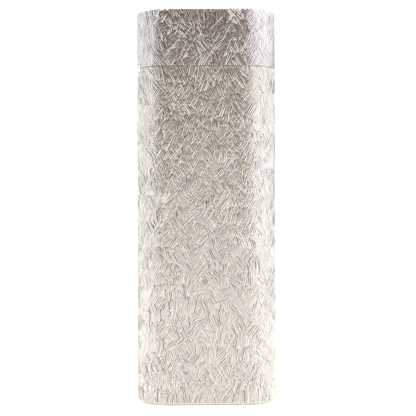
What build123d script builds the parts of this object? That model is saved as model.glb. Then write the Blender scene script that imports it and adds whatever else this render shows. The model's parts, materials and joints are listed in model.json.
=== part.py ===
"""Flip-top pocket gas lighter in an engraved metal case with fully rounded ends.

Frame: origin at the centre of the base, +Z up, +X towards the thumb roller, front face at -Y.
All sizes are millimetres. The lid turns to the left about a flush barrel hinge at the -X end.
"""
import os
from math import cos, pi, radians, sin

from build123d import *

os.makedirs("parts", exist_ok=True)

# ---------------------------------------------------------------- driving sizes
case_width = 25.0  # over the two rounded ends
case_depth = 12.5  # front face to back face, which is also the diameter of the ends
case_height = 70.0
lid_height = 10.0
wall = 0.5
seam_gap = 0.12  # between the case rim and the lid rim
foot_step = 0.25  # the base plate stands this far below the case rim
rim_edge = 0.06  # small bevel on both edges of the seam

end_radius = case_depth / 2
end_x = case_width / 2 - end_radius  # centre of the rounded ends
seam_z = case_height - lid_height
inner_width = case_width - 2 * wall
inner_depth = case_depth - 2 * wall

# Hinge: the barrel is flush with the left end of the case.
barrel_radius = 0.70
barrel_inset = 0.71
hinge_x = -case_width / 2 + barrel_inset
hinge_z = seam_z
hinge_half = 2.85  # half the length of the whole barrel
knuckle_half = 1.05  # half the length of the lid's own knuckle
knuckle_gap = 0.05
hinge_pin_radius = 0.25
hinge_pin_half = 2.2
relief_radius = 0.78  # the lid's rim curves round the barrel at this radius
relief_half = 2.95
relief_depth = 0.88  # pocket below the hinge axis, which lets the lid fall open
lid_travel = radians(96)
cam_rate = 0.12  # plunger travel for each radian that the lid turns
cam_low = 0.45  # hinge axis to the plunger's face with the lid shut

# Mechanism heights
plate_thickness = 1.4
tank_bottom = plate_thickness + 0.05
tank_top = 43.0
cover_top = tank_top + 1.2
deck_bottom = 58.7
deck_top = 59.8
collar_top = seam_z + 0.45

# Places along X
fill_x = -7.2
burner_x = -0.5
roller_x = 6.8
tank_right = 4.8

# Thumb roller and flint
roller_z = 61.2
drum_radius = 3.1
wheel_radius = 2.8
wheel_half = 1.5
drum_outer = 3.3
axle_radius = 0.8
ear_inner, ear_outer = 3.5, 4.4
flint_radius = 1.15
flint_length = 5.0
flint_top = roller_z - wheel_radius - 0.03
tube_top = 57.9
tube_outer, tube_inner = 1.7, 1.3
flint_thread = 1.25
running = 0.05  # radial clearance of parts that turn or slide

# Burner and its lever
stem_radius = 0.8
lever_z = 55.2  # lever pivot
lever_pivot_x = -7.0
lever_thickness = 0.7
lever_half = 1.7
striker_thickness = 0.6  # pad on the lever's short arm, which also balances it about the pivot
plunger_radius = 0.45
plunger_x = -case_width / 2 + 1.0
pillar_spots = [(-4.2, -4.1), (-4.2, 4.1), (2.6, -4.1), (2.6, 4.1)]
base_screw_spots = [(2.6, -3.3), (2.6, 3.3)]


# ---------------------------------------------------------------- shared shapes
def slot_prism(width, depth, bottom, top, mode=Mode.ADD):
    """A prism with straight front and back and fully rounded ends."""
    with BuildSketch(Plane.XY.offset(bottom)) as outline:
        SlotOverall(width, depth)
    extrude(outline.sketch, amount=top - bottom, mode=mode)


def upright(x, y, radius, bottom, top, mode=Mode.ADD):
    """A cylinder that stands along Z."""
    with BuildSketch(Plane.XY.offset(bottom)) as outline:
        with Locations((x, y)):
            Circle(radius)
    extrude(outline.sketch, amount=top - bottom, mode=mode)


def crosswise(x, z, radius, y_from, y_to, mode=Mode.ADD):
    """A cylinder that lies along Y."""
    with BuildSketch(Plane.XZ.offset(-y_to)) as outline:
        with Locations((x, z)):
            Circle(radius)
    extrude(outline.sketch, amount=y_to - y_from, mode=mode)


def block(x_from, x_to, y_from, y_to, z_from, z_to, mode=Mode.ADD):
    """A rectangular block given by its faces."""
    with BuildSketch(Plane.XY.offset(z_from)) as outline:
        with Locations(((x_from + x_to) / 2, (y_from + y_to) / 2)):
            Rectangle(x_to - x_from, y_to - y_from)
    extrude(outline.sketch, amount=z_to - z_from, mode=mode)


def turned(x, profile, mode=Mode.ADD):
    """A turned piece on a vertical axis at x, from (radius, height) corners."""
    with BuildSketch(Plane.XZ) as section:
        with BuildLine():
            Polyline(*[(x + r, z) for r, z in profile], close=True)
        make_face()
    revolve(section.sketch, axis=Axis((x, 0, 0), (0, 0, 1)), mode=mode)


def coil(x, mean_radius, wire_radius, bottom, top, turns):
    """A helical compression spring between two heights."""
    height = top - bottom - 2 * wire_radius
    start = (x + mean_radius, 0, bottom + wire_radius)
    with BuildLine() as centre_line:
        Helix(height / turns, height, mean_radius, center=(x, 0, bottom + wire_radius))
    helix = centre_line.line
    with BuildSketch(Plane(origin=start, x_dir=(1, 0, 0), z_dir=helix % 0)) as wire_section:
        Circle(wire_radius)
    sweep(wire_section.sketch, path=helix, is_frenet=True)


def envelope(radius_cut, bottom, top):
    """Trims the active part to the case outline, inset by radius_cut."""
    slot_prism(case_width - 2 * radius_cut, case_depth - 2 * radius_cut, bottom, top, Mode.INTERSECT)


def tank_prism(inset, bottom, top, mode=Mode.ADD):
    """A prism on the tank's plan: a rounded left end and a flat right side beside the flint tube."""
    with BuildSketch(Plane.XY.offset(bottom)) as outline:
        SlotOverall(inner_width - 0.3 - 2 * inset, inner_depth - 0.3 - 2 * inset)
        with Locations((tank_right - inset - case_width / 2, 0)):
            Rectangle(case_width, case_depth, mode=Mode.INTERSECT)
    extrude(outline.sketch, amount=top - bottom, mode=mode)


# ---------------------------------------------------------------- outer case
with BuildPart() as case_sleeve:
    slot_prism(case_width, case_depth, foot_step, seam_z - seam_gap / 2)
    fillet(case_sleeve.faces().sort_by(Axis.Z)[0].edges(), radius=0.3)
    chamfer(case_sleeve.faces().sort_by(Axis.Z)[-1].edges(), length=rim_edge)
    slot_prism(inner_width, inner_depth, foot_step, seam_z, Mode.SUBTRACT)
    block(
        -case_width, hinge_x + 1.2, -relief_half, relief_half,
        hinge_z - relief_depth, seam_z, Mode.SUBTRACT,
    )

with BuildPart() as base_plate:
    slot_prism(case_width - 1.0, case_depth - 1.0, 0, foot_step)
    fillet(base_plate.faces().sort_by(Axis.Z)[0].edges(), radius=0.12)
    slot_prism(inner_width - 0.04, inner_depth - 0.04, foot_step, plate_thickness)
    upright(fill_x, 0, 1.95, 0, plate_thickness, Mode.SUBTRACT)
    upright(burner_x, 0, 1.5, 0, plate_thickness, Mode.SUBTRACT)
    upright(roller_x, 0, 2.25, 0, 1.0, Mode.SUBTRACT)
    upright(roller_x, 0, flint_thread + running, 0, plate_thickness, Mode.SUBTRACT)
    with Locations(*[Location((x, y, 0), (180, 0, 0)) for x, y in base_screw_spots]):
        CounterSinkHole(radius=0.55, counter_sink_radius=1.05, depth=plate_thickness)

with BuildPart() as base_screws:
    for x, y in base_screw_spots:
        with BuildSketch(Plane.XY.offset(0.06)):
            with Locations((x, y)):
                Circle(0.96)
        with BuildSketch(Plane.XY.offset(0.52)):
            with Locations((x, y)):
                Circle(0.5)
        loft()
        upright(x, y, 0.5, 0.5, 2.5)
        block(x - 1, x + 1, y - 0.13, y + 0.13, 0, 0.3, Mode.SUBTRACT)

# ---------------------------------------------------------------- fuel tank
with BuildPart() as fuel_tank:
    tank_prism(0, tank_bottom, tank_top)
    tank_prism(0.7, tank_bottom + 1.6, tank_top, Mode.SUBTRACT)
    upright(burner_x, 0, 2.2, tank_bottom, 5.8)
    upright(burner_x, 0, 1.12, tank_bottom, 5.8, Mode.SUBTRACT)
    upright(fill_x, 0, 1.92, tank_bottom, 4.0, Mode.SUBTRACT)
    for x, y in base_screw_spots:
        upright(x, y, 0.52, tank_bottom, 2.6, Mode.SUBTRACT)

with BuildPart() as tank_cover:
    tank_prism(0, tank_top, cover_top)
    upright(-10.0, 0, 1.5, cover_top, cover_top + 1.0)
    upright(-10.0, 0, 1.2, cover_top, cover_top + 1.0, Mode.SUBTRACT)
    upright(burner_x, 0, 2.02, tank_top, cover_top, Mode.SUBTRACT)
    for x, y in pillar_spots:
        upright(x, y, 0.46, tank_top + 0.3, cover_top, Mode.SUBTRACT)

# ---------------------------------------------------------------- refill valve
with BuildPart() as fill_valve_body:
    turned(fill_x, [(0, 0.3), (1.85, 0.3), (1.85, 8.0), (0, 8.0)])
    turned(fill_x, [(0, 0.3), (1.35, 0.3), (1.35, 1.9), (0, 1.9)], Mode.SUBTRACT)
    turned(fill_x, [(0, 1.9), (0.7, 1.9), (0.7, 3.2), (0, 3.2)], Mode.SUBTRACT)
    turned(fill_x, [(0, 3.2), (1.35, 3.2), (1.35, 7.5), (0, 7.5)], Mode.SUBTRACT)
    turned(fill_x, [(0, 7.5), (0.45, 7.5), (0.45, 8.0), (0, 8.0)], Mode.SUBTRACT)

with BuildPart() as fill_valve_seal:
    turned(fill_x, [(0.65, 3.22), (1.33, 3.22), (1.33, 4.0), (0.65, 4.0)])

with BuildPart() as fill_valve_stem:
    turned(fill_x, [(0, 0.8), (0.45, 0.8), (0.6, 1.0), (0.6, 4.05), (1.15, 4.05), (1.15, 4.6), (0.5, 4.6), (0.5, 5.6), (0, 5.6)])
    upright(fill_x, 0, 0.2, 0.8, 3.6, Mode.SUBTRACT)

with BuildPart() as fill_valve_spring:
    coil(fill_x, 0.85, 0.14, 4.65, 7.45, 4)

# ---------------------------------------------------------------- flame adjuster
with BuildPart() as flame_adjuster:
    turned(
        burner_x,
        [(0, 0.35), (1.4, 0.35), (1.4, 1.3), (1.05, 1.3), (1.05, 3.6), (0.75, 3.6), (0.75, 4.3), (1.05, 4.3),
         (1.05, 5.6), (0.35, 5.6), (0.35, 40.6), (0.95, 40.6), (0.95, 41.1), (0, 41.1)],
    )
    block(burner_x - 1.5, burner_x + 1.5, -0.2, 0.2, 0.3, 0.85, Mode.SUBTRACT)

with BuildPart() as adjuster_seal:
    turned(burner_x, [(0.77, 3.65), (1.1, 3.65), (1.1, 4.25), (0.77, 4.25)])
    fillet(adjuster_seal.edges().filter_by(GeomType.CIRCLE), radius=0.12)

# ---------------------------------------------------------------- burner valve
with BuildPart() as burner_valve_body:
    turned(burner_x, [(0, 41.0), (1.98, 41.0), (1.98, cover_top), (0, cover_top)])
    with BuildSketch(Plane.XY.offset(cover_top)):
        with Locations((burner_x, 0)):
            RegularPolygon(radius=2.9, side_count=6)
    extrude(amount=1.4)
    upright(burner_x, 0, 1.9, cover_top + 1.4, 52.0)
    upright(burner_x, 0, 1.3, 41.0, 43.6, Mode.SUBTRACT)
    upright(burner_x, 0, 0.3, 43.6, 45.0, Mode.SUBTRACT)
    upright(burner_x, 0, 1.1, 44.4, 46.4, Mode.SUBTRACT)
    upright(burner_x, 0, stem_radius + running, 46.4, 52.0, Mode.SUBTRACT)
    turned(burner_x, [(0.8, 48.6), (1.25, 48.6), (1.25, 49.3), (0.8, 49.3)], Mode.SUBTRACT)

with BuildPart() as metering_pad:
    upright(burner_x, 0, 1.25, 41.6, 43.2)

with BuildPart() as stem_oring:
    turned(burner_x, [(0.82, 48.65), (1.23, 48.65), (1.23, 49.25), (0.82, 49.25)])
    fillet(stem_oring.edges().filter_by(GeomType.CIRCLE), radius=0.13)

with BuildPart() as valve_seal_pad:
    upright(burner_x, 0, 0.95, 44.45, 44.95)

jet_bottom, jet_top = 60.6, 64.0
with BuildPart() as burner_stem:
    upright(burner_x, 0, 0.95, 44.98, 45.6)
    upright(burner_x, 0, stem_radius, 45.6, jet_bottom)
    upright(burner_x, 0, 1.75, lever_z + lever_thickness / 2 + 0.1, 56.25)
    upright(burner_x, 0, 0.22, 46.2, jet_bottom, Mode.SUBTRACT)

with BuildPart() as burner_jet:
    turned(
        burner_x,
        [(0, jet_bottom), (1.35, jet_bottom), (1.35, 61.4), (1.1, 61.6), (1.1, 63.2), (0.7, jet_top), (0, jet_top)],
    )
    upright(burner_x, 0, 0.22, jet_bottom, jet_top, Mode.SUBTRACT)
    block(burner_x - 0.15, burner_x + 0.15, -1.5, 1.5, jet_bottom, 61.1, Mode.SUBTRACT)

with BuildPart() as burner_spring:
    coil(burner_x, 1.3, 0.16, 56.3, deck_bottom - 0.03, 3)

# ---------------------------------------------------------------- valve lever
lever_bottom = lever_z - lever_thickness / 2
lever_top = lever_z + lever_thickness / 2
striker_top = lever_top + striker_thickness
with BuildPart() as valve_lever:
    block(-11.6, -9.3, -lever_half, lever_half, lever_bottom, striker_top)
    block(-9.3, lever_pivot_x + 1, -lever_half, lever_half, lever_bottom, lever_top)
    block(lever_pivot_x + 1, burner_x - 1.2, -lever_half * 0.55, lever_half * 0.55, lever_bottom, lever_top)
    block(burner_x - 1.2, burner_x + 1.4, -lever_half, lever_half, lever_bottom, lever_top)
    upright_edges = valve_lever.edges().filter_by(Axis.Z).group_by(Axis.X)
    fillet(upright_edges[0] + upright_edges[-1], radius=0.4)
    crosswise(lever_pivot_x, lever_z, 1.1, -1.8, 1.8)
    crosswise(lever_pivot_x, lever_z, 0.55, -1.8, 1.8, Mode.SUBTRACT)
    block(burner_x - 0.1, burner_x + 3, -stem_radius - 0.1, stem_radius + 0.1, lever_bottom, lever_top, Mode.SUBTRACT)
    upright(burner_x - 0.1, 0, stem_radius + 0.1, lever_bottom, lever_top, Mode.SUBTRACT)

with BuildPart() as lever_pin:
    crosswise(lever_pivot_x, lever_z, 0.5, -2.8, 2.8)

with BuildPart() as cam_plunger:
    upright(plunger_x, 0, plunger_radius, striker_top + 0.06, hinge_z - cam_low - 0.03)
    chamfer(cam_plunger.faces().sort_by(Axis.Z)[0].edges(), length=0.15)

with BuildPart() as lid_spring:
    coil(-10.0, 0.9, 0.18, cover_top + 0.03, lever_bottom - 0.03, 8)

# ---------------------------------------------------------------- deck and pillars
with BuildPart() as mechanism_pillars:
    for x, y in pillar_spots:
        upright(x, y, 0.85, cover_top, deck_bottom)
        upright(x, y, 0.44, tank_top + 0.4, cover_top)
        upright(x, y, 0.42, deck_bottom - 2.2, deck_bottom, Mode.SUBTRACT)

with BuildPart() as deck_plate:
    slot_prism(inner_width - 0.1, inner_depth - 0.1, deck_bottom, collar_top)
    slot_prism(inner_width - 0.7, inner_depth - 0.7, deck_top, collar_top, Mode.SUBTRACT)
    # Ears that carry the roller's axle
    for side in (-1, 1):
        y_low, y_high = sorted((side * ear_inner, side * ear_outer))
        block(roller_x - 1.4, roller_x + 1.4, y_low, y_high, deck_bottom, roller_z)
        crosswise(roller_x, roller_z, 1.4, y_low, y_high)
        block(roller_x - 1.4, roller_x + 1.4, y_low, y_high, 56.4, deck_bottom)
    block(roller_x - 2.1, roller_x + 2.1, -ear_outer, ear_outer, 56.4, 57.3)
    upright(roller_x, 0, tube_outer + 0.02, 56.4, 57.3, Mode.SUBTRACT)
    # Cheeks that hang below the deck and carry the lever's pin
    for side in (-1, 1):
        y_low, y_high = sorted((side * 1.9, side * 2.8))
        block(lever_pivot_x - 1.0, lever_pivot_x + 1.0, y_low, y_high, lever_z, deck_bottom)
        crosswise(lever_pivot_x, lever_z, 1.0, y_low, y_high)
    crosswise(lever_pivot_x, lever_z, 0.5, -case_depth, case_depth, Mode.SUBTRACT)
    crosswise(roller_x, roller_z, axle_radius + running, -case_depth, case_depth, Mode.SUBTRACT)
    # Window for the roller, hole for the stem and the hinge block's pocket
    block(roller_x - 3.3, roller_x + 3.45, -3.4, 3.4, deck_bottom, collar_top, Mode.SUBTRACT)
    upright(burner_x, 0, 1.05, deck_bottom, collar_top, Mode.SUBTRACT)
    block(-case_width, hinge_x + 1.75, -relief_half, relief_half, deck_bottom, collar_top, Mode.SUBTRACT)
    for x, y in pillar_spots:
        upright(x, y, 0.5, deck_bottom, deck_top, Mode.SUBTRACT)
        upright(x, y, 0.85, deck_top - 0.5, deck_top, Mode.SUBTRACT)

with BuildPart() as deck_screws:
    for x, y in pillar_spots:
        upright(x, y, 0.8, deck_top - 0.48, deck_top + 0.05)
        upright(x, y, 0.4, deck_bottom - 2.0, deck_top - 0.48)
        block(x - 1, x + 1, y - 0.1, y + 0.1, deck_top - 0.2, deck_top + 0.1, Mode.SUBTRACT)

# ---------------------------------------------------------------- hinge
block_inner = hinge_x + 1.7
with BuildPart() as hinge_base:
    block(-case_width / 2, block_inner, -hinge_half, hinge_half, 57.0, hinge_z - relief_depth)
    block(hinge_x + 1.0, block_inner, -hinge_half, hinge_half, hinge_z - relief_depth, deck_top)
    for side in (-1, 1):
        y_low, y_high = sorted((side * (knuckle_half + knuckle_gap), side * hinge_half))
        block(hinge_x, hinge_x + barrel_radius, y_low, y_high, hinge_z - relief_depth, hinge_z)
    envelope(wall + 0.02, 57.0, hinge_z)
    for side in (-1, 1):
        y_low, y_high = sorted((side * (knuckle_half + knuckle_gap), side * hinge_half))
        crosswise(hinge_x, hinge_z, barrel_radius, y_low, y_high)
    envelope(0, 57.0, seam_z + 2)
    crosswise(hinge_x, hinge_z, hinge_pin_radius, -hinge_pin_half, hinge_pin_half, Mode.SUBTRACT)
    upright(plunger_x, 0, plunger_radius + 0.02, 57.0, deck_top, Mode.SUBTRACT)

with BuildPart() as hinge_pin:
    crosswise(hinge_x, hinge_z, hinge_pin_radius, -hinge_pin_half, hinge_pin_half)


def cam_point(angle):
    """A point of the lid's cam, whose reach towards angle grows evenly as the lid opens."""
    reach = cam_low + cam_rate * (1.5 * pi - angle)
    across = hinge_x + reach * cos(angle) + cam_rate * sin(angle)
    height = hinge_z + reach * sin(angle) - cam_rate * cos(angle)
    return across, height


leaf_inner = hinge_x + 0.85
cam_start, cam_end = 1.5 * pi, 1.5 * pi - lid_travel
cam_curve = [cam_point(cam_start + (cam_end - cam_start) * i / 6) for i in range(7)]
with BuildPart() as lid_hinge_leaf:
    block(-case_width / 2, leaf_inner, -2.5, 2.5, hinge_z + 0.9, hinge_z + 4.4)
    block(-case_width / 2, leaf_inner, -knuckle_half, knuckle_half, hinge_z, hinge_z + 0.9)
    envelope(wall + 0.01, hinge_z, hinge_z + 5)
    crosswise(hinge_x, hinge_z, barrel_radius, -knuckle_half, knuckle_half)
    # The underside of the knuckle is a cam that presses the plunger down as the lid opens.
    with BuildSketch(Plane.XZ.offset(-knuckle_half)):
        with BuildLine():
            Spline(*cam_curve)
            Polyline(
                cam_curve[-1], (hinge_x - 2, cam_curve[-1][1]), (hinge_x - 2, hinge_z - 2),
                (hinge_x + 2, hinge_z - 2), (hinge_x + 2, hinge_z - cam_low), cam_curve[0],
            )
        make_face()
    extrude(amount=2 * knuckle_half, mode=Mode.SUBTRACT)
    crosswise(hinge_x, hinge_z, hinge_pin_radius + 0.03, -knuckle_half, knuckle_half, Mode.SUBTRACT)

# ---------------------------------------------------------------- lid
with BuildPart() as lid_shell:
    slot_prism(case_width, case_depth, seam_z + seam_gap / 2, case_height)
    fillet(lid_shell.faces().sort_by(Axis.Z)[-1].edges(), radius=0.4)
    chamfer(lid_shell.faces().sort_by(Axis.Z)[0].edges(), length=rim_edge)
    slot_prism(inner_width, inner_depth, seam_z, case_height - 0.9, Mode.SUBTRACT)
    crosswise(hinge_x, hinge_z, relief_radius, -relief_half, relief_half, Mode.SUBTRACT)

liner_thickness = 0.28
with BuildPart() as lid_liner:
    slot_prism(inner_width - 0.04, inner_depth - 0.04, seam_z + 0.55, case_height - 0.92)
    slot_prism(
        inner_width - 0.04 - 2 * liner_thickness, inner_depth - 0.04 - 2 * liner_thickness,
        seam_z, case_height - 0.92 - liner_thickness, Mode.SUBTRACT,
    )
    block(-case_width, leaf_inner + 0.1, -relief_half, relief_half, seam_z, hinge_z + 4.5, Mode.SUBTRACT)
    crosswise(hinge_x, hinge_z, relief_radius, -relief_half, relief_half, Mode.SUBTRACT)

# ---------------------------------------------------------------- wind guard
guard_width, guard_depth, guard_wall = 8.0, 7.0, 0.4
guard_x = burner_x - 0.2
guard_top = 64.4
with BuildPart() as wind_guard:
    with BuildSketch(Plane.XY.offset(deck_top)):
        with Locations((guard_x, 0)):
            SlotOverall(guard_width, guard_depth)
    extrude(amount=guard_top - deck_top)
    with BuildSketch(Plane.XY.offset(deck_top)):
        with Locations((guard_x, 0)):
            SlotOverall(guard_width - 2 * guard_wall, guard_depth - 2 * guard_wall)
    extrude(amount=guard_top - deck_top, mode=Mode.SUBTRACT)
    # Spark opening towards the wheel, and two rows of air holes in front and back
    block(guard_x, guard_x + guard_width, -1.6, 1.6, deck_top, 63.2, Mode.SUBTRACT)
    with BuildSketch(Plane.XZ.offset(case_depth)):
        with Locations((guard_x, 62.1)):
            with GridLocations(1.5, 1.7, 4, 2):
                Circle(0.45)
    extrude(amount=-2 * case_depth, mode=Mode.SUBTRACT)

# ---------------------------------------------------------------- thumb roller
def ridged_disc(radius, depth, ridges, y_from, y_to):
    """A disc on the roller's axis with straight V-cuts all round its rim."""
    crosswise(roller_x, roller_z, radius, y_from, y_to)
    with BuildSketch(Plane.XZ.offset(-y_to)) as cuts:
        with Locations((roller_x, roller_z)):
            with PolarLocations(radius, ridges):
                Polygon((-depth, 0), (depth, depth), (depth, -depth), align=None)
    extrude(cuts.sketch, amount=y_to - y_from, mode=Mode.SUBTRACT)
    crosswise(roller_x, roller_z, axle_radius, y_from, y_to, Mode.SUBTRACT)


with BuildPart() as spark_wheel:
    ridged_disc(wheel_radius, 0.14, 40, -wheel_half, wheel_half)

with BuildPart() as roller_front:
    ridged_disc(drum_radius, 0.16, 36, -drum_outer, -wheel_half - 0.04)

with BuildPart() as roller_rear:
    ridged_disc(drum_radius, 0.16, 36, wheel_half + 0.04, drum_outer)

with BuildPart() as roller_axle:
    crosswise(roller_x, roller_z, axle_radius, -ear_outer - 0.05, ear_outer + 0.05)
    chamfer(roller_axle.edges().filter_by(GeomType.CIRCLE), length=0.1)
    for side in (-1, 1):
        y_end = side * (ear_outer + 0.05)
        block(roller_x - 1, roller_x + 1, min(y_end, y_end - side * 0.3), max(y_end, y_end - side * 0.3),
              roller_z - 0.12, roller_z + 0.12, Mode.SUBTRACT)

# ---------------------------------------------------------------- flint train
with BuildPart() as flint_tube:
    upright(roller_x, 0, tube_outer, plate_thickness, tube_top)
    upright(roller_x, 0, tube_inner, plate_thickness, tube_top, Mode.SUBTRACT)

with BuildPart() as flint:
    upright(roller_x, 0, flint_radius, flint_top - flint_length, flint_top)

follower_top = flint_top - flint_length - 0.02
with BuildPart() as flint_follower:
    upright(roller_x, 0, 1.2, follower_top - 2.0, follower_top)
    upright(roller_x, 0, 0.6, follower_top - 4.0, follower_top - 2.0)
    chamfer(flint_follower.faces().sort_by(Axis.Z)[0].edges(), length=0.2)

with BuildPart() as flint_spring:
    coil(roller_x, 0.95, 0.18, 8.55, follower_top - 2.02, 26)

with BuildPart() as flint_screw:
    upright(roller_x, 0, 2.15, 0.08, 0.95)
    fillet(flint_screw.faces().sort_by(Axis.Z)[0].edges(), radius=0.15)
    upright(roller_x, 0, flint_thread, 0.95, 8.5)
    with BuildSketch(Plane.XY.offset(0)):
        with Locations((roller_x, 0)):
            Rectangle(6, 0.6)
    extrude(amount=0.55, mode=Mode.SUBTRACT)

# ---------------------------------------------------------------- write the pieces
pieces = {
    "case_sleeve": case_sleeve, "base_plate": base_plate, "base_screws": base_screws,
    "fuel_tank": fuel_tank, "tank_cover": tank_cover,
    "fill_valve_body": fill_valve_body, "fill_valve_seal": fill_valve_seal,
    "fill_valve_stem": fill_valve_stem, "fill_valve_spring": fill_valve_spring,
    "flame_adjuster": flame_adjuster, "adjuster_seal": adjuster_seal,
    "burner_valve_body": burner_valve_body, "metering_pad": metering_pad,
    "stem_oring": stem_oring, "valve_seal_pad": valve_seal_pad,
    "burner_stem": burner_stem, "burner_jet": burner_jet, "burner_spring": burner_spring,
    "valve_lever": valve_lever, "lever_pin": lever_pin, "cam_plunger": cam_plunger,
    "lid_spring": lid_spring, "mechanism_pillars": mechanism_pillars,
    "deck_plate": deck_plate, "deck_screws": deck_screws,
    "hinge_base": hinge_base, "hinge_pin": hinge_pin, "lid_hinge_leaf": lid_hinge_leaf,
    "lid_shell": lid_shell, "lid_liner": lid_liner, "wind_guard": wind_guard,
    "spark_wheel": spark_wheel, "roller_front": roller_front, "roller_rear": roller_rear,
    "roller_axle": roller_axle, "flint_tube": flint_tube, "flint": flint,
    "flint_follower": flint_follower, "flint_spring": flint_spring, "flint_screw": flint_screw,
}
for name, piece in pieces.items():
    piece.part.label = name
    export_step(piece.part, f"parts/{name}.step")
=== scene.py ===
import json
import math
import random

import bmesh
import bpy
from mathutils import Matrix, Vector

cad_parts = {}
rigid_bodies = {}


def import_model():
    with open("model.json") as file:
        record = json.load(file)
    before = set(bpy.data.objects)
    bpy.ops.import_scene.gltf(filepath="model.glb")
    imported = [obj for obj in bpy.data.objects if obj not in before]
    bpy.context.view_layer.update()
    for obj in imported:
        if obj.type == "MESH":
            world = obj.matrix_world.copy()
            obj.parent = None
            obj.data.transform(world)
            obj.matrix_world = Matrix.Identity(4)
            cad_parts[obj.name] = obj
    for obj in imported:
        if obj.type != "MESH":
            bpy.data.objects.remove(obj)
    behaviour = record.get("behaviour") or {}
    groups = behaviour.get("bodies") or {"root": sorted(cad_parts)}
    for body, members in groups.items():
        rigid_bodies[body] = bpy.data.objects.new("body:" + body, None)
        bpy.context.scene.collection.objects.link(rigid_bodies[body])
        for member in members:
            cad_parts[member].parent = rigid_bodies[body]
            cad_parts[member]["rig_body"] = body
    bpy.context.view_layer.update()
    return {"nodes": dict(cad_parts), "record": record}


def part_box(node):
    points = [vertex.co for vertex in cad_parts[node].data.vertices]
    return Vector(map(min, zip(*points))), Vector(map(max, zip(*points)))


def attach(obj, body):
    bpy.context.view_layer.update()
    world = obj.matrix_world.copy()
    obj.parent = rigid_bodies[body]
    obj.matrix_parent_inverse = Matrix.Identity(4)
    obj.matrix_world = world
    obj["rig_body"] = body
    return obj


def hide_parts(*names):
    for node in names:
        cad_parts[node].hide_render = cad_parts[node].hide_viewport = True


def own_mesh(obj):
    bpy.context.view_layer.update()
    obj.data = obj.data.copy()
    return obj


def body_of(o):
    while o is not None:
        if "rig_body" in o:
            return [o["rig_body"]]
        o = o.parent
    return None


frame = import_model()
nodes = frame["nodes"]

MM = 0.001

# ---------------------------------------------------------------- sizes, all from the frame
sleeve_low, sleeve_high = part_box("case_sleeve")
lid_low, lid_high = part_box("lid_shell")
case_width = sleeve_high.x - sleeve_low.x
case_depth = sleeve_high.y - sleeve_low.y
case_height = lid_high.z
end_radius = case_depth / 2
straight = case_width - case_depth
end_x = straight / 2
end_arc = math.pi * end_radius
perimeter = 2 * (straight + end_arc)
hinge_end_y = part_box("hinge_base")[1].y


# ---------------------------------------------------------------- node helpers
def new_material(name, metallic, roughness):
    """A material with one principled shader, and that shader."""
    material = bpy.data.materials.new(name)
    material.use_nodes = True
    shader = material.node_tree.nodes["Principled BSDF"]
    shader.inputs["Metallic"].default_value = metallic
    shader.inputs["Roughness"].default_value = roughness
    return material, shader


class Graph:
    """Short calls for the nodes that the materials and the world use. Lengths are in millimetres."""

    def __init__(self, tree):
        self.tree = tree

    def add(self, kind, **settings):
        node = self.tree.nodes.new(kind)
        for key, value in settings.items():
            setattr(node, key, value)
        return node

    def link(self, output, target):
        self.tree.links.new(output, target)

    def feed(self, value, target):
        if isinstance(value, bpy.types.NodeSocket):
            self.link(value, target)
        else:
            target.default_value = value

    def place(self, scale=(1, 1, 1), turn=0.0, uv_map=None):
        """Object coordinates, or the named UV map, in millimetres, turned about Z and then scaled."""
        if uv_map:
            source = self.add("ShaderNodeUVMap", uv_map=uv_map).outputs["UV"]
        else:
            source = self.add("ShaderNodeTexCoord").outputs["Object"]
        turned = self.add("ShaderNodeVectorRotate", rotation_type="Z_AXIS")
        self.link(source, turned.inputs["Vector"])
        turned.inputs["Angle"].default_value = turn
        scaled = self.add("ShaderNodeVectorMath", operation="MULTIPLY")
        self.link(turned.outputs["Vector"], scaled.inputs[0])
        scaled.inputs[1].default_value = [s / MM for s in scale]
        return scaled.outputs["Vector"]

    def noise(self, vector, scale=1.0, detail=2.0, roughness=0.5, distortion=0.0):
        node = self.add("ShaderNodeTexNoise")
        self.link(vector, node.inputs["Vector"])
        node.inputs["Scale"].default_value = scale
        node.inputs["Detail"].default_value = detail
        node.inputs["Roughness"].default_value = roughness
        node.inputs["Distortion"].default_value = distortion
        return node.outputs["Fac"]

    def ramp(self, factor, stops):
        """A colour ramp through (position, grey or colour) stops."""
        node = self.add("ShaderNodeValToRGB")
        elements = node.color_ramp.elements
        while len(elements) < len(stops):
            elements.new(0.5)
        for element, (position, colour) in zip(elements, stops):
            element.position = position
            if isinstance(colour, (int, float)):
                colour = (colour, colour, colour)
            element.color = (*colour, 1)
        self.link(factor, node.inputs["Fac"])
        return node.outputs["Color"]

    def maths(self, operation, a, b=0.0):
        node = self.add("ShaderNodeMath", operation=operation)
        self.feed(a, node.inputs[0])
        self.feed(b, node.inputs[1])
        return node.outputs[0]

    def spread(self, value, low, high, to_low=0, to_high=1):
        """Maps value from low..high to to_low..to_high, clamped."""
        node = self.add("ShaderNodeMapRange")
        self.feed(value, node.inputs["Value"])
        node.inputs["From Min"].default_value = low
        node.inputs["From Max"].default_value = high
        node.inputs["To Min"].default_value = to_low
        node.inputs["To Max"].default_value = to_high
        return node.outputs["Result"]

    def mix(self, factor, a, b, blend="MIX"):
        node = self.add("ShaderNodeMix", data_type="RGBA", blend_type=blend)
        self.feed(factor, node.inputs["Factor"])
        self.feed((*a, 1) if isinstance(a, tuple) else a, node.inputs[6])
        self.feed((*b, 1) if isinstance(b, tuple) else b, node.inputs[7])
        return node.outputs[2]

    def bump(self, height, depth_mm, strength):
        node = self.add("ShaderNodeBump")
        self.link(height, node.inputs["Height"])
        node.inputs["Distance"].default_value = depth_mm * MM
        node.inputs["Strength"].default_value = strength
        return node.outputs["Normal"]


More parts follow.
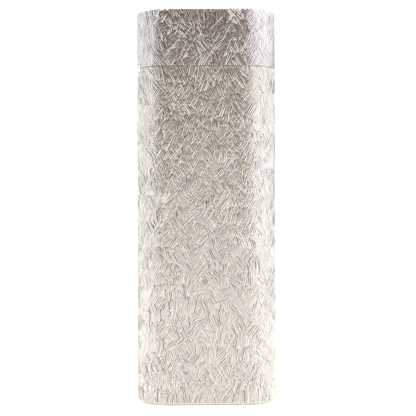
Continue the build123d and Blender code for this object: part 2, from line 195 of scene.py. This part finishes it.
# ---------------------------------------------------------------- engraved silver
def engraved_silver(name, cool, warm):
    """Silver with a slow change of tint and a fine tool grain. The mesh's tone attribute holds painted shade
    per face, from 0, the deepest painted shade, to 1, unshaded."""
    material, shader = new_material(name, 1.0, 0.3)
    g = Graph(material.node_tree)
    skin = g.place(uv_map="skin")
    grain = g.noise(skin, 9.0, 3.0, 0.6)
    tint = g.noise(skin, 0.35, 3.0, 0.6)
    colour = g.ramp(tint, ((0.35, cool), (0.65, warm)))
    # painted shade: each face's colour is darkened by its tone, down to the deepest painted shade
    tone = g.add("ShaderNodeAttribute", attribute_name="tone").outputs["Fac"]
    colour = g.mix(1.0, colour, g.ramp(tone, ((0.0, DEEPEST_PAINTED_SHADE), (1.0, 1.0))), "MULTIPLY")
    g.link(colour, shader.inputs["Base Color"])
    g.link(g.spread(tone, 0, 1, 0.34, 0.27), shader.inputs["Roughness"])
    g.link(g.bump(grain, 0.006, 0.6), shader.inputs["Normal"])
    return material


# ---------------------------------------------------------------- other metals, plastics and rubber
def brushed_metal(name, light, dark, roughness, grain=(0.05, 2.0, 2.0), stain=None):
    """Metal with fine lines, long along the axes where grain is large, and a slow change of tone."""
    material, shader = new_material(name, 1.0, roughness)
    g = Graph(material.node_tree)
    lines = g.noise(g.place([1 / s for s in grain]), 1.0, 3.0, 0.6)
    cloud = g.noise(g.place(), 0.5, 4.0, 0.6)
    colour = g.mix(g.spread(cloud, 0.35, 0.65), dark, light)
    if stain:
        blotch = g.noise(g.place(), 0.22, 2.0, 0.5, 0.6)
        colour = g.mix(g.spread(blotch, 0.52, 0.72, 0, 0.65), colour, stain)
    g.link(colour, shader.inputs["Base Color"])
    g.link(g.spread(lines, 0.3, 0.7, roughness - 0.08, roughness + 0.12), shader.inputs["Roughness"])
    g.link(g.bump(lines, 0.006, 0.6), shader.inputs["Normal"])
    return material


def polished_metal(name, colour, roughness=0.12):
    """Bright metal with fine hairline scratches and faint handling marks."""
    material, shader = new_material(name, 1.0, roughness)
    g = Graph(material.node_tree)
    scratches = g.noise(g.place((0.6, 0.6, 14), 0.4), 1.0, 4.0, 0.7, 0.4)
    smears = g.noise(g.place(), 0.6, 3.0, 0.5)
    dulled = tuple(c * 0.93 for c in colour)
    g.link(g.ramp(smears, ((0.3, dulled), (0.7, colour))), shader.inputs["Base Color"])
    g.link(g.spread(smears, 0.35, 0.7, roughness, roughness + 0.12), shader.inputs["Roughness"])
    g.link(g.bump(scratches, 0.002, 0.5), shader.inputs["Normal"])
    return material


def soft_material(name, light, dark, roughness, grain_mm, depth_mm, translucent=0.0):
    """Plastic, rubber or foam: a fine surface grain and a slow change of tone."""
    material, shader = new_material(name, 0.0, roughness)
    g = Graph(material.node_tree)
    grain = g.noise(g.place(), 1 / grain_mm, 4.0, 0.6)
    cloud = g.noise(g.place(), 0.3, 3.0, 0.5)
    g.link(g.mix(g.spread(cloud, 0.3, 0.7), dark, light), shader.inputs["Base Color"])
    g.link(g.spread(grain, 0.3, 0.7, roughness - 0.08, roughness + 0.1), shader.inputs["Roughness"])
    g.link(g.bump(grain, depth_mm, 0.7), shader.inputs["Normal"])
    if translucent:
        shader.inputs["Subsurface Weight"].default_value = translucent
        shader.inputs["Subsurface Radius"].default_value = (MM, MM, MM)
    return material


def granular_metal(name, light, dark, roughness):
    """Coarse cast or hardened metal with small pits."""
    material, shader = new_material(name, 1.0, roughness)
    g = Graph(material.node_tree)
    grains = g.noise(g.place(), 6.0, 5.0, 0.7)
    g.link(g.ramp(grains, ((0.35, dark), (0.65, light))), shader.inputs["Base Color"])
    g.link(g.spread(grains, 0.3, 0.7, roughness - 0.1, roughness + 0.15), shader.inputs["Roughness"])
    g.link(g.bump(grains, 0.02, 0.7), shader.inputs["Normal"])
    return material


DEEPEST_PAINTED_SHADE = 0.17  # how bright a face in the deepest painted shade is, beside an unshaded one
SILVER_COOL, SILVER_WARM = (0.93, 0.885, 0.86), (0.95, 0.90, 0.83)
LID_COOL, LID_WARM = (0.92, 0.865, 0.89), (0.94, 0.89, 0.88)
materials = {
    "engraved_silver": engraved_silver("engraved_silver", SILVER_COOL, SILVER_WARM),
    "engraved_lid": engraved_silver("engraved_lid", LID_COOL, LID_WARM),
    "plain_silver": polished_metal("plain_silver", (0.80, 0.78, 0.74)),
    "liner_brass": brushed_metal(
        "liner_brass", (0.78, 0.62, 0.36), (0.62, 0.46, 0.25), 0.32, stain=(0.35, 0.25, 0.2)),
    "base_nickel": brushed_metal(
        "base_nickel", (0.66, 0.65, 0.62), (0.52, 0.51, 0.49), 0.3, (3.0, 0.05, 1.0)),
    "screw_steel": brushed_metal(
        "screw_steel", (0.62, 0.62, 0.62), (0.48, 0.48, 0.49), 0.28, (0.08, 0.08, 0.6)),
    "tank_plastic": soft_material(
        "tank_plastic", (0.84, 0.82, 0.76), (0.76, 0.73, 0.66), 0.35, 0.6, 0.01, translucent=0.25),
    "brass": brushed_metal("brass", (0.82, 0.65, 0.36), (0.66, 0.49, 0.24), 0.26, (0.6, 0.6, 0.05)),
    "rubber": soft_material("rubber", (0.05, 0.05, 0.052), (0.03, 0.03, 0.031), 0.6, 0.1, 0.01),
    "pad_felt": soft_material("pad_felt", (0.86, 0.85, 0.81), (0.72, 0.7, 0.66), 0.9, 0.08, 0.04),
    "spring_steel": brushed_metal(
        "spring_steel", (0.56, 0.56, 0.58), (0.4, 0.4, 0.43), 0.27, (0.1, 0.1, 0.1)),
    "stamped_steel": brushed_metal(
        "stamped_steel", (0.6, 0.6, 0.59), (0.46, 0.46, 0.45), 0.34, (1.2, 0.06, 0.4)),
    "deck_nickel": brushed_metal(
        "deck_nickel", (0.72, 0.70, 0.66), (0.58, 0.56, 0.52), 0.28, (2.0, 0.06, 1.0)),
    "guard_steel": brushed_metal(
        "guard_steel", (0.66, 0.64, 0.6), (0.5, 0.47, 0.42), 0.3, (1.0, 1.0, 0.06), stain=(0.42, 0.3, 0.2)),
    "hard_steel": granular_metal("hard_steel", (0.3, 0.3, 0.31), (0.16, 0.16, 0.17), 0.38),
    "roller_steel": polished_metal("roller_steel", (0.72, 0.71, 0.69), 0.2),
    "flint_alloy": granular_metal("flint_alloy", (0.34, 0.33, 0.32), (0.2, 0.19, 0.19), 0.55),
}
for entry in frame["record"]["subparts"]:
    node = nodes[entry["node"]]
    finish = materials[entry["material_slot"]]
    if node.material_slots:
        for place in node.material_slots:
            place.material = finish
    else:
        node.data.materials.append(finish)


# ---------------------------------------------------------------- the engraved walls
# Leans are in radians from upright, as a mean and a spread. Tones are painted shade, from 0, the deepest
# painted shade, to 1, unshaded.
PATCH = (2.5 * MM, 2.3 * MM)  # a patch of parallel strokes, round the case and up it
PATCH_LEAN = (0.5, 0.17)  # to one side or the other, in turn
UPRIGHT_SHARE, UPRIGHT_LEAN = 0.3, (0, 0.15)  # for the patches that stand nearly upright
SEED_PLACE = (0.1, 0.9)  # where a patch's middle may lie in its cell, as a share of the cell
STROKES_EACH_SIDE = 9  # of a patch's middle, at most
OVERRUN = (-0.1 * MM, 0.45 * MM)  # how far a patch's strokes run into the next patch

STROKE_GAP = (0.28 * MM, 0.36 * MM)  # between the middles of a patch's strokes
STROKE_SHIFT = (-0.12, 0.12)  # how far a stroke lies from its even place, as a share of the gap
STROKE_LEAN = (0, 0.08)  # beside the patch's own lean
STROKE_WIDTH = (1.0, 1.15)  # as a share of the gap
STROKE_SLOPE = (0.075, 0.115)  # a patch's usual stroke height, as a share of the gap
STROKE_HEIGHT = (0.6, 1.4)  # as a share of the patch's usual stroke height
STROKE_LENGTH = (0.9 * MM, 2.6 * MM)
STROKE_OVERLAP = 0.12 * MM  # how far a stroke runs into the next one in its line
UNBROKEN = 1.2 * MM  # a line up to this long is one stroke
SHORTEST_LINE = 0.3 * MM  # a shorter line is left out
SHORTEST_REST = 0.4 * MM  # a shorter rest of a line joins the stroke before it
STROKE_TAPER, TAPER_SHARE = 0.5 * MM, 0.35  # the longest taper, in metres and as a share of the stroke
TAPER_CHANGE = (0.5, 1)  # as a share of that
BLUNT_TAPER, AT_EDGE = 0.02 * MM, 0.01 * MM  # the taper of an end that lies this near the surface's edge
LIT_LOWER_FLANK, SHADED_UPPER_FLANK = (0.65, 1.0), (0.33, 0.65)  # of a stroke's flanks, painted light on the lower one and painted shade on the upper one
DEEPEST_SHADE_SHARE = 0.25  # of the strokes have an upper flank painted in the deepest shade, 0, instead

FOOT = 0.3  # how far a stroke's feet sink into the metal, as a share of its height
CREST_SHIFT = -0.04  # where the crest lies across a stroke, from its middle, as a share of its width
MOST_SAG = 0.5  # how far a straight run may cut under the surface's bend, as a share of the stroke's height

CASE_CUTS, LID_CUTS = 2000, 330  # longer cuts that cross the patches
CUT_LEAN = (0.55, 0.15)  # to either side
CUT_LENGTH = (1.5 * MM, 4.0 * MM)
CUT_WIDTH = (0.24 * MM, 0.32 * MM)
CUT_HEIGHT = (0.024 * MM, 0.036 * MM)
CUT_TAPER = 0.4 * MM
# painted light on a cut's lower flank and painted shade, darker, on its upper one
CUT_LIT_LOWER_FLANK, CUT_SHADED_UPPER_FLANK = (0.8, 1.0), (0.05, 0.4)

RIM_MARGIN = 0.3 * MM  # left plain at the foot of the case
TOP_MARGIN, CUT_TOP_MARGIN = 0.02 * MM, 0.1 * MM  # left free below the lid's top, by the strokes and the cuts
TOP_EDGE_MARGIN = 0.15 * MM  # left plain round the lid's flat top
HINGE_MARGIN = (0.5 * MM, 1.3 * MM)  # left plain beyond the hinge's ends, and above and below the seam
SHELL_PAINTED_SHADE = 0.6  # painted shade of the metal under the strokes, in the grooves between them
WELD = 1e-7  # corners of the CAD shell that are nearer than this, in metres, become one
SHARP = math.radians(30)  # edges of the shell that bend by more than this stay sharp
rng = random.Random(11)


def wall_point(along, height, out=0.0):
    """The place on the case's outer wall at arc length along, counted from the front's centre towards +X."""
    s = along % perimeter
    radius = end_radius + out
    if s <= end_x:
        return Vector((s, -radius, height))
    s -= end_x
    if s <= end_arc:
        turn = s / end_radius
        return Vector((end_x + radius * math.sin(turn), -radius * math.cos(turn), height))
    s -= end_arc
    if s <= straight:
        return Vector((end_x - s, radius, height))
    s -= straight
    if s <= end_arc:
        turn = s / end_radius
        return Vector((-end_x - radius * math.sin(turn), radius * math.cos(turn), height))
    return Vector((s - end_arc - end_x, -radius, height))


def wall_along(point):
    """The arc length of a point on the outer wall, the opposite of wall_point."""
    x, y = point.x, point.y
    if abs(x) <= end_x:
        return x % perimeter if y < 0 else end_x + end_arc + (end_x - x)
    if x > end_x:
        return end_x + end_radius * math.atan2(x - end_x, -y)
    return end_x + end_arc + straight + end_radius * math.atan2(-end_x - x, y)


def top_point(x, y, out=0.0):
    """A place on the lid's flat top."""
    return Vector((x, y, case_height + out))


class Strokes:
    """The metal between an engraver's short cuts, as low closed ridges that lie along a surface."""

    def __init__(self, place):
        self.place = place
        self.corners = []
        self.flat = []
        self.faces = []
        self.tones = []

    def add(self, start, end, width, height, tones, tapers):
        """One stroke between two spots on the surface, in as many straight runs as the surface's bend needs.
        tones are the brightness of its lower flank and of its upper one: painted light and painted shade."""
        length = math.dist(start, end)
        ahead = ((end[0] - start[0]) / length, (end[1] - start[1]) / length)
        middle = self.place((start[0] + end[0]) / 2, (start[1] + end[1]) / 2)
        sag = (middle - (self.place(*start) + self.place(*end)) / 2).length
        runs = max(1, math.ceil(math.sqrt(sag / (MOST_SAG * height))))
        spots = [(0, 0, -FOOT)]
        for i in range(runs + 1):
            far = tapers[0] + (length - tapers[0] - tapers[1]) * i / runs
            spots += [(far, -0.5, -FOOT), (far, 0.5, -FOOT), (far, CREST_SHIFT, 1)]
        spots.append((length, 0, -FOOT))
        first, last = len(self.corners), len(self.corners) + len(spots) - 1
        for far, across, out in spots:
            across *= width
            flat = (
                start[0] + ahead[0] * far + ahead[1] * across,
                start[1] + ahead[1] * far - ahead[0] * across,
            )
            self.corners.append(self.place(*flat, out * height))
            self.flat.append(flat)
        left, right, crest = first + 1, first + 2, first + 3
        # keeps the painted shade on the upper flank, whichever way the stroke leans
        if ahead[0] < 0:
            tones = tones[::-1]
        for one, other, tone in ((right, crest, tones[0]), (crest, left, tones[1]), (left, right, tones[0])):
            side = [(first, one, other)]
            side += [(one + 3 * i, one + 3 * i + 3, other + 3 * i + 3, other + 3 * i) for i in range(runs)]
            side.append((last, other + 3 * runs, one + 3 * runs))
            self.faces += side
            self.tones += [tone] * len(side)

    def cover(self, rng, a_range, b_range, keep, around=0.0):
        """Fills a rectangle of the surface with patches of parallel strokes that meet edge to edge.
        keep says where strokes may lie. around is the surface's length round where it closes on itself."""
        rows = round((b_range[1] - b_range[0]) / PATCH[1])
        columns = round((a_range[1] - a_range[0]) / PATCH[0])
        step = ((a_range[1] - a_range[0]) / columns, (b_range[1] - b_range[0]) / rows)
        seeds = []
        for row in range(rows):
            for column in range(columns):
                a = a_range[0] + (column + 0.5 * (row % 2) + rng.uniform(*SEED_PLACE)) * step[0]
                b = b_range[0] + (row + rng.uniform(*SEED_PLACE)) * step[1]
                if rng.random() > UPRIGHT_SHARE:
                    side = 1 if (row + column) % 2 else -1
                    seeds.append((a, b, side * rng.gauss(*PATCH_LEAN)))
                else:
                    seeds.append((a, b, rng.gauss(*UPRIGHT_LEAN)))
        for seed in seeds:
            near = []
            for other in seeds:
                shift = around * round((seed[0] - other[0]) / around) if around else 0
                away = (other[0] + shift - seed[0], other[1] - seed[1])
                if 0 < math.hypot(*away) < 3 * PATCH[0]:
                    near.append(away)
            self.patch(rng, seed, near, b_range, keep)

    def cross(self, rng, count, a_range, b_range, keep):
        """Scatters longer, finer cuts that cross the patches, leaning either way."""
        for _ in range(count):
            start = (rng.uniform(*a_range), rng.uniform(*b_range))
            lean = rng.choice((-1, 1)) * rng.gauss(*CUT_LEAN)
            length = rng.uniform(*CUT_LENGTH)
            end = (start[0] + length * math.sin(lean), start[1] + length * math.cos(lean))
            if end[1] < b_range[1] and keep(*start) and keep(*end):
                width, height = rng.uniform(*CUT_WIDTH), rng.uniform(*CUT_HEIGHT)
                # painted light on the cut's lower flank, painted shade on its upper one
                tones = (rng.uniform(*CUT_LIT_LOWER_FLANK), rng.uniform(*CUT_SHADED_UPPER_FLANK))
                self.add(start, end, width, height, tones, (CUT_TAPER, CUT_TAPER))

    def patch(self, rng, seed, near, b_range, keep):
        """Parallel strokes over the part of the surface that is nearer to seed than to its neighbours."""
        a, b, angle = seed
        gap = rng.uniform(*STROKE_GAP)
        height = gap * rng.uniform(*STROKE_SLOPE)
        for i in range(-STROKES_EACH_SIDE, STROKES_EACH_SIDE + 1):
            offset = (i + rng.uniform(*STROKE_SHIFT)) * gap
            own = angle + rng.gauss(*STROKE_LEAN)
            ahead = (math.sin(own), math.cos(own))
            at = (ahead[1] * offset, -ahead[0] * offset)
            low, high = -2 * PATCH[0], 2 * PATCH[0]
            # each neighbour's border, halfway to it, cuts the stroke's line from one side
            for away in near:
                gain = ahead[0] * away[0] + ahead[1] * away[1]
                room = (away[0] / 2 - at[0]) * away[0] + (away[1] / 2 - at[1]) * away[1]
                if gain > 0:
                    high = min(high, room / gain)
                else:
                    low = max(low, room / min(gain, -1e-12))
            low -= rng.uniform(*OVERRUN)
            high += rng.uniform(*OVERRUN)
            floor_end = (b_range[0] - b - at[1]) / ahead[1]
            roof_end = (b_range[1] - b - at[1]) / ahead[1]
            low, high = max(low, floor_end), min(high, roof_end)
            if high - low < SHORTEST_LINE:
                continue
            breaks = [low]
            while high - breaks[-1] > UNBROKEN:
                breaks.append(breaks[-1] + rng.uniform(*STROKE_LENGTH))
            breaks[1:] = [t for t in breaks[1:] if t < high - SHORTEST_REST] + [high]
            for ends in zip(breaks, breaks[1:]):
                ends = (ends[0], min(ends[1] + STROKE_OVERLAP, high))
                spots = [(a + at[0] + ahead[0] * t, b + at[1] + ahead[1] * t) for t in ends]
                if not all(keep(*spot) for spot in spots):
                    continue
                taper = min(STROKE_TAPER, TAPER_SHARE * (ends[1] - ends[0]))
                tapers = [BLUNT_TAPER if abs(t - edge) < AT_EDGE else taper * rng.uniform(*TAPER_CHANGE)
                          for t, edge in zip(ends, (floor_end, roof_end))]
                # the upper flank's painted shade, black in a share of the strokes
                upper = rng.uniform(*SHADED_UPPER_FLANK) if rng.random() < 1 - DEEPEST_SHADE_SHARE else 0.0
                width, own_height = gap * rng.uniform(*STROKE_WIDTH), height * rng.uniform(*STROKE_HEIGHT)
                self.add(*spots, width, own_height, (rng.uniform(*LIT_LOWER_FLANK), upper), tapers)


def engraved_piece(name, cad_node, body, finish, strokes, is_outer):
    """The CAD shell with its outside covered in strokes, as one mesh that stands for the CAD node.
    is_outer says which faces of the shell have the engraved finish. The others are plain silver."""
    shell = bmesh.new()
    shell.from_mesh(nodes[cad_node].data)
    bmesh.ops.remove_doubles(shell, verts=shell.verts, dist=WELD)
    shell.verts.ensure_lookup_table()
    corners = [v.co.copy() for v in shell.verts]
    faces = [[v.index for v in f.verts] for f in shell.faces]
    outer = [is_outer(f) for f in shell.faces]
    shell.free()
    shell_faces = len(faces)
    flat = []
    for face in faces:
        middle = wall_along(sum((corners[i] for i in face), Vector()) / len(face))
        for i in face:
            along = wall_along(corners[i])
            along += perimeter * round((middle - along) / perimeter)
            flat.append((along, corners[i].z))
    # the shell, between and under the strokes, gets painted shade
    tones = [SHELL_PAINTED_SHADE] * shell_faces
    for group in strokes:
        first = len(corners)
        corners += group.corners
        for face, tone in zip(group.faces, group.tones):
            faces.append([first + i for i in face])
            flat += [group.flat[i] for i in face]
            tones.append(tone)
    mesh = bpy.data.meshes.new(name)
    mesh.from_pydata(corners, [], faces)
    mesh.materials.append(materials[finish])
    mesh.materials.append(materials["plain_silver"])
    stroke_faces = len(faces) - shell_faces
    mesh.polygons.foreach_set("material_index", [0 if o else 1 for o in outer] + [0] * stroke_faces)
    mesh.polygons.foreach_set("use_smooth", [True] * shell_faces + [False] * stroke_faces)
    skin = mesh.uv_layers.new(name="skin")
    skin.data.foreach_set("uv", [value for pair in flat for value in pair])
    # each face's painted shade, by which the material darkens its colour
    mesh.attributes.new("tone", "FLOAT", "FACE").data.foreach_set("value", tones)
    mesh.update()
    mesh.set_sharp_from_angle(angle=SHARP)
    piece = bpy.data.objects.new(name, mesh)
    bpy.context.scene.collection.objects.link(piece)
    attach(piece, body)
    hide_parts(cad_node)


def from_spine(x, y):
    """The distance from the line that joins the centres of the two rounded ends."""
    return math.hypot(max(abs(x) - end_x, 0), y)


def clear_of_hinge(along, height):
    """False where the flush hinge sits at the left end."""
    point = wall_point(along, height)
    beside = point.x < 0 and abs(point.y) < hinge_end_y + HINGE_MARGIN[0]
    return not (beside and abs(height - sleeve_high.z) < HINGE_MARGIN[1])


def on_wall(face):
    """True for a face of the outer wall, which points sideways and lies on the outline."""
    centre = face.calc_center_median()
    return abs(face.normal.z) < 0.3 and from_spine(centre.x, centre.y) > end_radius - 0.05 * MM


def on_wall_or_top(face):
    """True for a face of the lid's outer wall or of its flat top."""
    is_top = face.normal.z > 0.9 and face.calc_center_median().z > case_height - 0.1 * MM
    return on_wall(face) or is_top


def on_top(x, y):
    """True inside the lid's flat top."""
    return from_spine(x, y) < end_radius - TOP_EDGE_MARGIN


case_span = (sleeve_low.z + RIM_MARGIN, sleeve_high.z)
case_strokes = Strokes(wall_point)
case_strokes.cover(rng, (0, perimeter), case_span, clear_of_hinge, perimeter)
case_strokes.cross(rng, CASE_CUTS, (0, perimeter), case_span, clear_of_hinge)
engraved_piece("engraved_case", "case_sleeve", "case", "engraved_silver", [case_strokes], on_wall)

lid_strokes = Strokes(wall_point)
lid_strokes.cover(rng, (0, perimeter), (lid_low.z, lid_high.z - TOP_MARGIN), clear_of_hinge, perimeter)
lid_strokes.cross(rng, LID_CUTS, (0, perimeter), (lid_low.z, lid_high.z - CUT_TOP_MARGIN), clear_of_hinge)
top_strokes = Strokes(top_point)
top_strokes.cover(rng, (-case_width / 2, case_width / 2), (-end_radius, end_radius), on_top)
engraved_piece("engraved_lid", "lid_shell", "lid", "engraved_lid", [lid_strokes, top_strokes], on_wall_or_top)


# ---------------------------------------------------------------- springs
def springs():
    """Each coil spring as a copy of its CAD node, on the same body, with the CAD node hidden."""
    for joint in frame["record"]["behaviour"]["joints"]:
        for entry in joint.get("deforming_nodes", ()):
            node = nodes[entry["node"]]
            coil = bpy.data.objects.new(entry["node"] + "_coil", node.data.copy())
            bpy.context.scene.collection.objects.link(coil)
            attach(coil, *body_of(node))
            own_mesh(coil)
            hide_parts(entry["node"])


springs()


# ---------------------------------------------------------------- floor, light and camera
def white_floor():
    """A round, pale light table: white, lit a little from below, and just under the object's foot."""
    radius, sides, gap = 240 * MM, 96, 0.02 * MM
    mesh = bpy.data.meshes.new("floor")
    rim = [(radius * math.cos(2 * math.pi * i / sides), radius * math.sin(2 * math.pi * i / sides), 0)
           for i in range(sides)]
    mesh.from_pydata(rim, [], [range(sides)])
    material, shader = new_material("floor_white", 0.0, 0.6)
    shader.inputs["Base Color"].default_value = (0.82, 0.81, 0.80, 1)
    shader.inputs["Emission Color"].default_value = (1.0, 0.985, 0.955, 1)
    shader.inputs["Emission Strength"].default_value = 0.56
    mesh.materials.append(material)
    floor = bpy.data.objects.new("floor", mesh)
    floor.location.z = -gap
    bpy.context.scene.collection.objects.link(floor)


def studio_world():
    """A white tent with a soft dark opening in front and one behind, both above the horizon.
    Its walls are straight to the left and right, and its flanks lie between them and the openings."""
    front_low, front_high, back = (0.305, 0.205, 0.045), (0.10, 0.056, 0.045), (0.38, 0.37, 0.36)
    left_low, left_high, right_wall = (1.14, 1.145, 1.14), (0.9, 0.905, 0.88), (1.38, 1.39, 1.38)
    left_flank, right_flank = (1.24, 1.25, 1.26), (1.34, 1.36, 1.38)
    seen_white = (1.3, 1.3, 1.3)
    swing = math.radians(-11)  # how far the openings are turned from straight ahead
    world = bpy.data.worlds.new("studio")
    bpy.context.scene.world = world
    world.use_nodes = True
    g = Graph(world.node_tree)
    background = world.node_tree.nodes["Background"]
    direction = g.add("ShaderNodeTexCoord").outputs["Generated"]
    split = g.add("ShaderNodeSeparateXYZ")
    g.link(direction, split.inputs["Vector"])
    x, y, z = split.outputs
    level = g.maths("SQRT", g.maths("ADD", g.maths("MULTIPLY", x, x), g.maths("MULTIPLY", y, y)))
    ahead = g.maths("ADD", g.maths("MULTIPLY", x, -math.sin(swing)), g.maths("MULTIPLY", y, math.cos(swing)))
    # facing is 1 straight ahead and straight behind, and 0 to either side
    facing = g.maths("DIVIDE", g.maths("ABSOLUTE", ahead), level)
    behind = g.spread(y, -0.1, 0.1)
    across = g.mix(behind, g.spread(facing, 0.60, 0.82), g.spread(facing, 0.80, 0.95))
    above_floor = g.spread(z, -0.04, 0.08)
    below_top = g.spread(z, 0.55, 0.85, 1, 0)
    opening = g.maths("MULTIPLY", g.maths("MULTIPLY", across, above_floor), below_top)
    front = g.mix(g.spread(z, 0.12, 0.20), front_low, front_high)
    gloom = g.mix(behind, front, back)
    left_wall = g.mix(g.spread(z, 0.07, 0.14), left_low, left_high)
    right = g.spread(x, -0.2, 0.2)
    wall = g.mix(right, left_wall, right_wall)
    flank = g.mix(right, left_flank, right_flank)
    sides = g.mix(g.spread(facing, 0.1, 0.45, 1, 0), flank, wall)
    tent = g.mix(opening, sides, gloom)
    seen = g.add("ShaderNodeLightPath").outputs["Is Camera Ray"]
    g.link(g.mix(seen, tent, seen_white), background.inputs["Color"])


def aim_camera():
    """The photograph's view: straight at the front face from a hand's length away, and almost level."""
    from_front = 190 * MM
    lift, roll = math.radians(-0.7), math.radians(0.2)
    off_centre = (0.28 * MM, -0.15 * MM)  # the view's middle from the object's, across and up
    camera = bpy.data.cameras.new("camera")
    holder = bpy.data.objects.new("camera", camera)
    bpy.context.scene.collection.objects.link(holder)
    camera.sensor_width = 36
    camera.lens = 93.3
    camera.clip_start = 10 * MM
    target = Vector((off_centre[0], 0, case_height / 2 + off_centre[1]))
    distance = from_front + end_radius
    holder.location = target + Vector((0, -math.cos(lift), math.sin(lift))) * distance
    holder.rotation_euler = (math.pi / 2 - lift, roll, 0)
    bpy.context.scene.camera = holder


white_floor()
studio_world()
aim_camera()
bpy.context.scene.view_settings.view_transform = "Standard"
